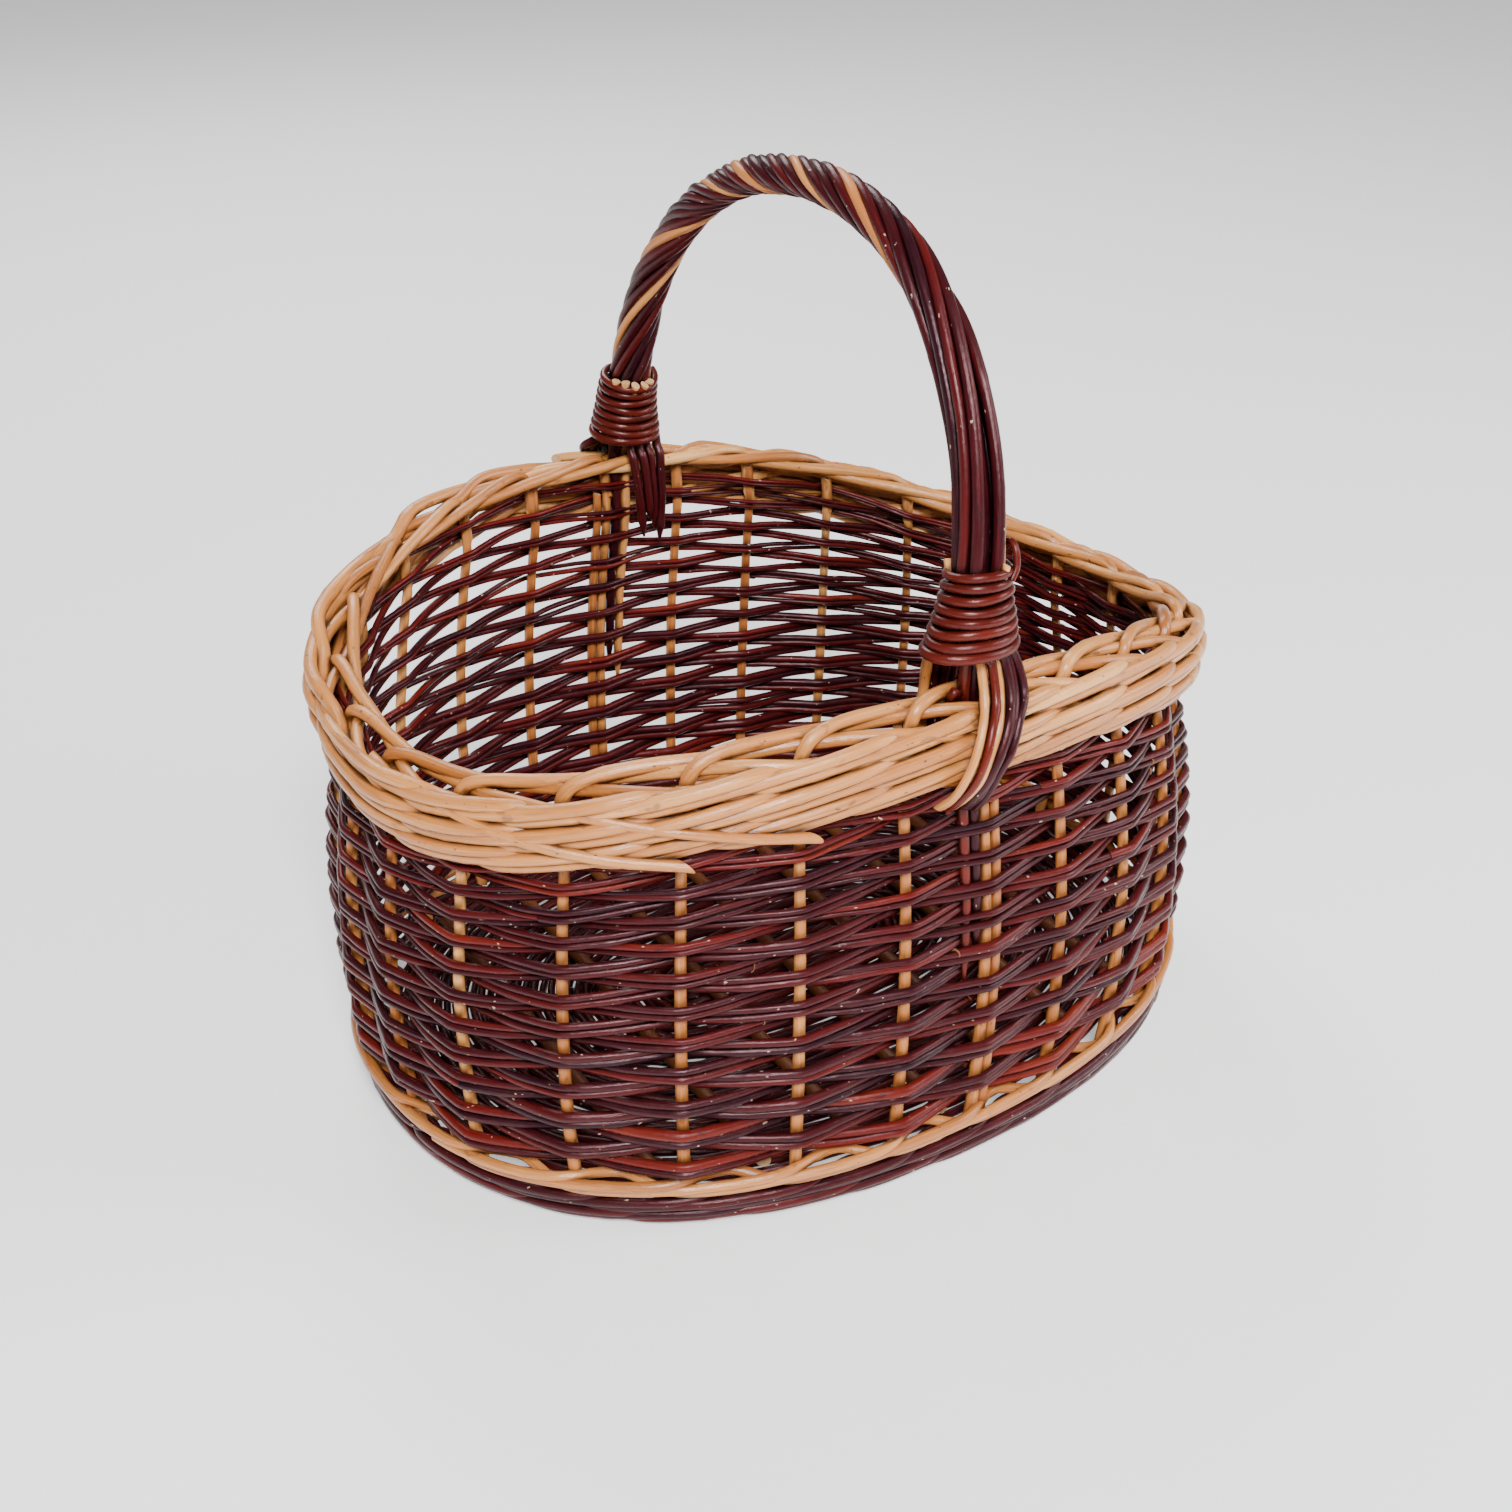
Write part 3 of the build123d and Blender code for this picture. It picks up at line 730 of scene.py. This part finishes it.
# cream cut ends that show over the rear binding, and two knobs over the front one
b = Bundle()
REAR_ENDS, FRONT_KNOBS = (-62, -38, -14, 9, 30), (-128, 28)      # degrees round the rope
for front, height, r, places in ((False, 36.5, 2.15, REAR_ENDS), (True, 37.5, 1.8, FRONT_KNOBS)):
    c, up, ex, ey = frame_at(arch_share(ROPE_FOOT + height, front), front)
    face = -ey if ey[1] > 0 else ey
    for deg in places:
        q = math.radians(deg)
        way = face * math.cos(q) + ex * math.sin(q)
        reach = 10.4 + rng.uniform(-0.3, 0.5)
        root = c + way * (reach - 2.5) - up * (9 + rng.uniform(0, 2))
        tip = c + way * (reach + 1.4) + up * rng.uniform(-0.6, 1.4)
        mid = (root + tip) / 2 + way * 0.8
        b.rod(curve([root, mid, tip], 14), r, sides=12, tone=0.9, slope=0.3, lumps=0.0)
b.piece("strand_ends", BUFF, ["handle_rope"], "light_willow")


# ------------------------------------------------------------------ rods under the bindings
KINDS = {"dark": (DARK, 0.3, "dark_willow"), "red": (RED, 0.7, "dark_willow"),
         "light": (BUFF, 0.85, "light_willow")}


def outer_legs(side, name, order):
    """Rods from the binding out over the rim; side is -1 at the front foot and 1 at the rear one."""
    front = side < 0
    rz = float(rim_z(np.array(side * math.pi / 2)))
    # x, out from the rim's oval, height and spread of the fan of rods, from the top down
    keys = ((9.0 if front else 13.0, 6.0, 250 if front else 245, 0.55), (12.0, 7.5, 243, 0.85),
            (11.0, 13.5, rz + 33, 1), (5.2, 20.0, rz + 25, 0.95), (-0.8, 23.0, rz + 15, 0.93),
            (-4.6, 22.2, rz + 5, 0.91), (-7.0, 18.0, rz - 4, 0.9), (-8.6, 11.0, rz - 12, 0.88))
    near, fan = (0.0, 1) if front else (7.0, 0.8)
    bundles = {kind: Bundle() for kind in KINDS}
    for i, kind in enumerate(order):
        q = (i - (len(order) - 1) / 2) / ((len(order) - 1) / 2)
        jig = rng.uniform(-0.45, 0.45, (len(keys), 2))
        spread = 9.0 + rng.uniform(-0.4, 0.4)
        depth = 1.5 * (i % 2) - 1.2 * q * q
        pts = []
        for m, (x, o, z, share) in enumerate(keys):
            late = 5.0 * max(0.0, q) * max(0, m - 5) / 2
            x = x - near * max(0, 4 - m) / 4 + q * spread * share * fan + jig[m][0]
            pts.append((-side * x, side * (RIM_B + o + depth + jig[m][1]), z - late))
        tone = KINDS[kind][1] + rng.uniform(-0.2, 0.15)
        r = 2.25 * rng.uniform(0.9, 1.06) * np.linspace(1, 0.84, 50)
        bundles[kind].rod(curve(pts, 50), r, sides=12, tone=tone, lumps=0.04, slope=1.0)
    for kind in ("dark", "red", "light"):
        mat, _, slot = KINDS[kind]
        bundles[kind].piece(f"legs_{name}_outer_{kind}", mat, [f"handle_legs_{name}_outer"], slot)


def inner_legs(side, name, middle, gather, drift, tips, cream):
    """Rods from the binding down inside the rim, drawn together towards their tips."""
    rz = float(rim_z(np.array(side * math.pi / 2)))
    dark, light = Bundle(), Bundle()
    for i, tip in enumerate(tips):
        x = (i - 1.5) * 4.9 + middle
        keys = [(8.0, ROPE_FOOT + 8), (10.5, ROPE_FOOT - 4), (13.2, rz + 33), (13.8, rz + 24),
                (13.2, rz + 12), (11.2, rz + 1), (9.8, rz + tip)]
        pts = []
        for m, (o, z) in enumerate(keys):
            down = max(0, m - 2) / 4
            pts.append((middle + (x - middle) * (1 - gather * down) + drift * down + rng.uniform(-0.5, 0.5),
                        side * (RIM_B - o - 0.9 * (i % 2)), z))
        bundle = light if i == cream else dark
        r = 2.3 * rng.uniform(0.92, 1.06)
        bundle.rod(curve(pts, 36), r, sides=12, tone=float(rng.uniform(0.05, 0.5)), ends=("cut", "point"))
    dark.piece(f"legs_{name}_inner_dark", DARK, [f"handle_legs_{name}_inner"], "dark_willow")
    light.piece(f"legs_{name}_inner_light", BUFF, [f"handle_legs_{name}_inner"], "light_willow")


outer_legs(-1, "front", ("light", "red", "light", "dark", "dark", "dark"))
inner_legs(-1, "front", -2.4, 0.1, 0.0, (-12, -12, -12, -12), cream=0)
outer_legs(1, "rear", ("dark", "dark", "dark", "red", "dark", "dark"))
inner_legs(1, "rear", 6.0, 0.42, 4.0, (-12, -3, -9, -16), cream=None)

# the bow's ends, pushed down into the wall beside the middle uprights
BOW_GAP, BOW_PITCH = 5.5, 5.3
dark, red, light = Bundle(), Bundle(), Bundle()
for side, n, tip, bundle, tone in ((-1, 0, 105, dark, 0.12), (-1, 1, 95, red, 0.75),
                                   (1, 0, 112, dark, 0.12), (1, 1, 100, light, 0.75)):
    z = np.linspace(tip, ROPE_FOOT + 6, 50)
    pts = place(np.full_like(z, MIDDLE if side < 0 else 0), z, np.zeros_like(z))
    pts[:, 0] += side * (BOW_GAP + BOW_PITCH * n) + wander(z, 0.3, 60, 20 + n)
    bundle.rod(pts, np.linspace(2.3, 2.8, 50), sides=14, tone=tone, ends=("point", "cut"))
# a rod that bends over into the slot in front of the bow
base = place(np.array([float(MIDDLE)]), np.array([200.0]), np.array([0.0]))[0]
over = [(-19.5, 1, -8), (-19.2, 0, 14), (-18.6, -1, 27), (-17.4, -3, 33), (-15.6, -1.5, 30), (-14.6, 1, 20),
        (-14.4, 2, 4)]
red.rod(curve([base + np.array(p) for p in over], 34), 1.9, sides=12, tone=0.5)
dark.piece("bow_end_rods_dark", DARK, ["handle_bow_ends"], "dark_willow")
light.piece("bow_end_rods_light", TAN, ["handle_bow_ends"], "light_willow")
red.piece("bow_end_rods_red", RED, ["handle_bow_ends"], "dark_willow")

# ------------------------------------------------------------------ base
BASE_MORE = 4.0                               # the rods end this far past the frame's sticks
STICK_R = 3.4
b = Bundle()
for i in range(5):
    y = 16.0 * (i - 2)
    a = (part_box("base_long_sticks")[1][0] / MM + BASE_MORE) * (1 - (abs(y) / 170) ** 2.2)
    x = np.linspace(-a, a, 60)
    pts = np.stack([x, y + wander(x, 0.6, 160, i), np.full_like(x, 5.0)], -1)
    b.rod(pts, STICK_R, sides=12, tone=rng.uniform(0.1, 0.6))
b.piece("base_long_rods", PAINTED_SHADE_TAN, ["base_long_sticks"], "light_willow")
b = Bundle()
for i in range(7):
    x0 = 44.0 * (i - 3)
    a = (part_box("base_cross_sticks")[1][1] / MM + BASE_MORE) * (1 - (abs(x0) / 190) ** 2.25) ** (1 / 2.25)
    y = np.linspace(-a, a, 50)
    pts = np.stack([x0 + wander(y, 0.6, 140, i), y, np.full_like(y, 18.3)], -1)
    b.rod(pts, STICK_R, sides=12, tone=rng.uniform(0.1, 0.6))
b.piece("base_cross_rods", PAINTED_SHADE_TAN, ["base_cross_sticks"], "light_willow")

RINGS, RING_PITCH = 33, 4.25
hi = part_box("base_weave")[1]
weave_a, weave_b = hi[0] / MM + 4.2, hi[1] / MM + 4.2
b = Bundle()
for i in range(RINGS):
    inset = 2.2 + i * RING_PITCH
    a, c = weave_a - inset, weave_b - inset
    if c < 3:
        break
    t = np.linspace(0, 2 * np.pi, max(40, int(2.2 * math.pi * a / 5)))
    p = 2.0 / (SQUARENESS + 0.6 * i / RINGS)
    x = a * np.sign(np.cos(t)) * np.abs(np.cos(t)) ** p
    y = c * np.sign(np.sin(t)) * np.abs(np.sin(t)) ** p
    z = 11.6 + 1.1 * np.cos(14 * t + np.pi * (i % 2)) + wander(t, 0.2, 2.0, 60 + i)
    r = 2.0 * rng.uniform(0.92, 1.05)
    b.rod(np.stack([x, y, z], -1), r, sides=8, tone=any_tone(0.4, 0.22))
b.piece("base_weave_rods", DARK, ["base_weave"], "dark_willow")

# ------------------------------------------------------------------ painted shade in the crevices
CELL = 1.5                                    # size of a cell of the grid that is filled with rods
GRID_LOW = np.array([-235.0, -185.0, -10.0])
GRID_SIZE = np.array([470, 370, 440])


def paint_crevice_shade(reach=1.7, clear=0.36, packed=0.72):
    """Paints shade: marks each point of a rod's skin with how tightly its neighbours crowd it, and the materials
    darken the colour there as if it lay in shadow.
    """
    shape = tuple(int(v / CELL) for v in GRID_SIZE)
    solid = np.zeros(shape, np.float32)

    def cells(p):
        q = (p.reshape(-1, 3) - GRID_LOW) / CELL
        return np.clip(q, 1, np.array(shape) - 3)

    for _, rods in Bundle.made:
        for pts, body, _ in rods:
            for share in (0.0, 0.5, 0.95):
                p = pts[:, None, :] + (body - pts[:, None, :]) * share
                for q in (p, (p[1:] + p[:-1]) / 2):
                    solid[tuple(cells(q).astype(int).T)] = 1
    for axis in range(3):
        solid = (solid + np.roll(solid, 1, axis) + np.roll(solid, -1, axis)) / 3
    for mesh, rods in Bundle.made:
        out = []
        for pts, body, ring in rods:
            q = cells(body + ring * reach) - 0.5
            i = q.astype(int)
            f = q - i
            total = 0
            for dx, dy, dz in np.ndindex(2, 2, 2):
                w = (np.where(dx, f[:, 0], 1 - f[:, 0]) * np.where(dy, f[:, 1], 1 - f[:, 1])
                     * np.where(dz, f[:, 2], 1 - f[:, 2]))
                total = total + w * solid[i[:, 0] + dx, i[:, 1] + dy, i[:, 2] + dz]
            cut_ends = np.zeros(2 * body.shape[1])
            out += [np.clip((total - clear) / (packed - clear), 0, 1), cut_ends]
        # painted shade: how much each point's colour is darkened
        att = mesh.attributes.new("crevice_painted_shade", "FLOAT", "POINT")
        att.data.foreach_set("value", np.concatenate(out).astype(np.float32))


paint_crevice_shade()

# ------------------------------------------------------------------ studio
floor_mat = bpy.data.materials.new("studio_floor")
floor_mat.use_nodes = True
surface = floor_mat.node_tree.nodes["Principled BSDF"]
surface.inputs["Base Color"].default_value = (0.90, 0.90, 0.90, 1)
surface.inputs["Emission Color"].default_value = (1, 1, 1, 1)
surface.inputs["Emission Strength"].default_value = 0.45
surface.inputs["Roughness"].default_value = 0.9
bpy.ops.mesh.primitive_plane_add(size=60, location=(0, 0, -0.0005))
floor = bpy.context.object
floor.name = "studio_floor_plane"
floor.data.materials.append(floor_mat)
floor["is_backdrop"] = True

world = bpy.data.worlds.new("studio")
bpy.context.scene.world = world
world.use_nodes = True
world.node_tree.nodes["Background"].inputs[0].default_value = (1, 1, 1, 1)
world.node_tree.nodes["Background"].inputs[1].default_value = 0.20


def aim_at(obj, way):
    """Turns a lamp or a camera to look along way."""
    obj.rotation_euler = Vector(way).to_track_quat("-Z", "Y").to_euler()


def area(name, at, size, power, target=(0, 0, 0.15)):
    data = bpy.data.lights.new(name, "AREA")
    data.shape = "DISK"
    data.size = size
    data.energy = power
    obj = bpy.data.objects.new(name, data)
    bpy.context.scene.collection.objects.link(obj)
    obj.location = at
    aim_at(obj, np.array(target) - np.array(at))


area("key", (-0.75, -1.55, 1.75), 0.7, 96)
area("fill", (1.55, -1.05, 1.1), 1.0, 28)
area("back", (0.3, 1.7, 1.7), 1.2, 34)

# ------------------------------------------------------------------ camera
AZ, EL, DIST = math.radians(-31.57), math.radians(29.95), 0.99728
aim = np.array([0.0164, 0.0414, 0.1042])
back = np.array([math.sin(AZ) * math.cos(EL), -math.cos(AZ) * math.cos(EL), math.sin(EL)])
cam_data = bpy.data.cameras.new("camera")
cam_data.sensor_width = 36
cam_data.lens = 36 * 1.3031
cam = bpy.data.objects.new("camera", cam_data)
bpy.context.scene.collection.objects.link(cam)
cam.location = aim + back * DIST
aim_at(cam, -back)
bpy.context.scene.camera = cam

write_size("made")
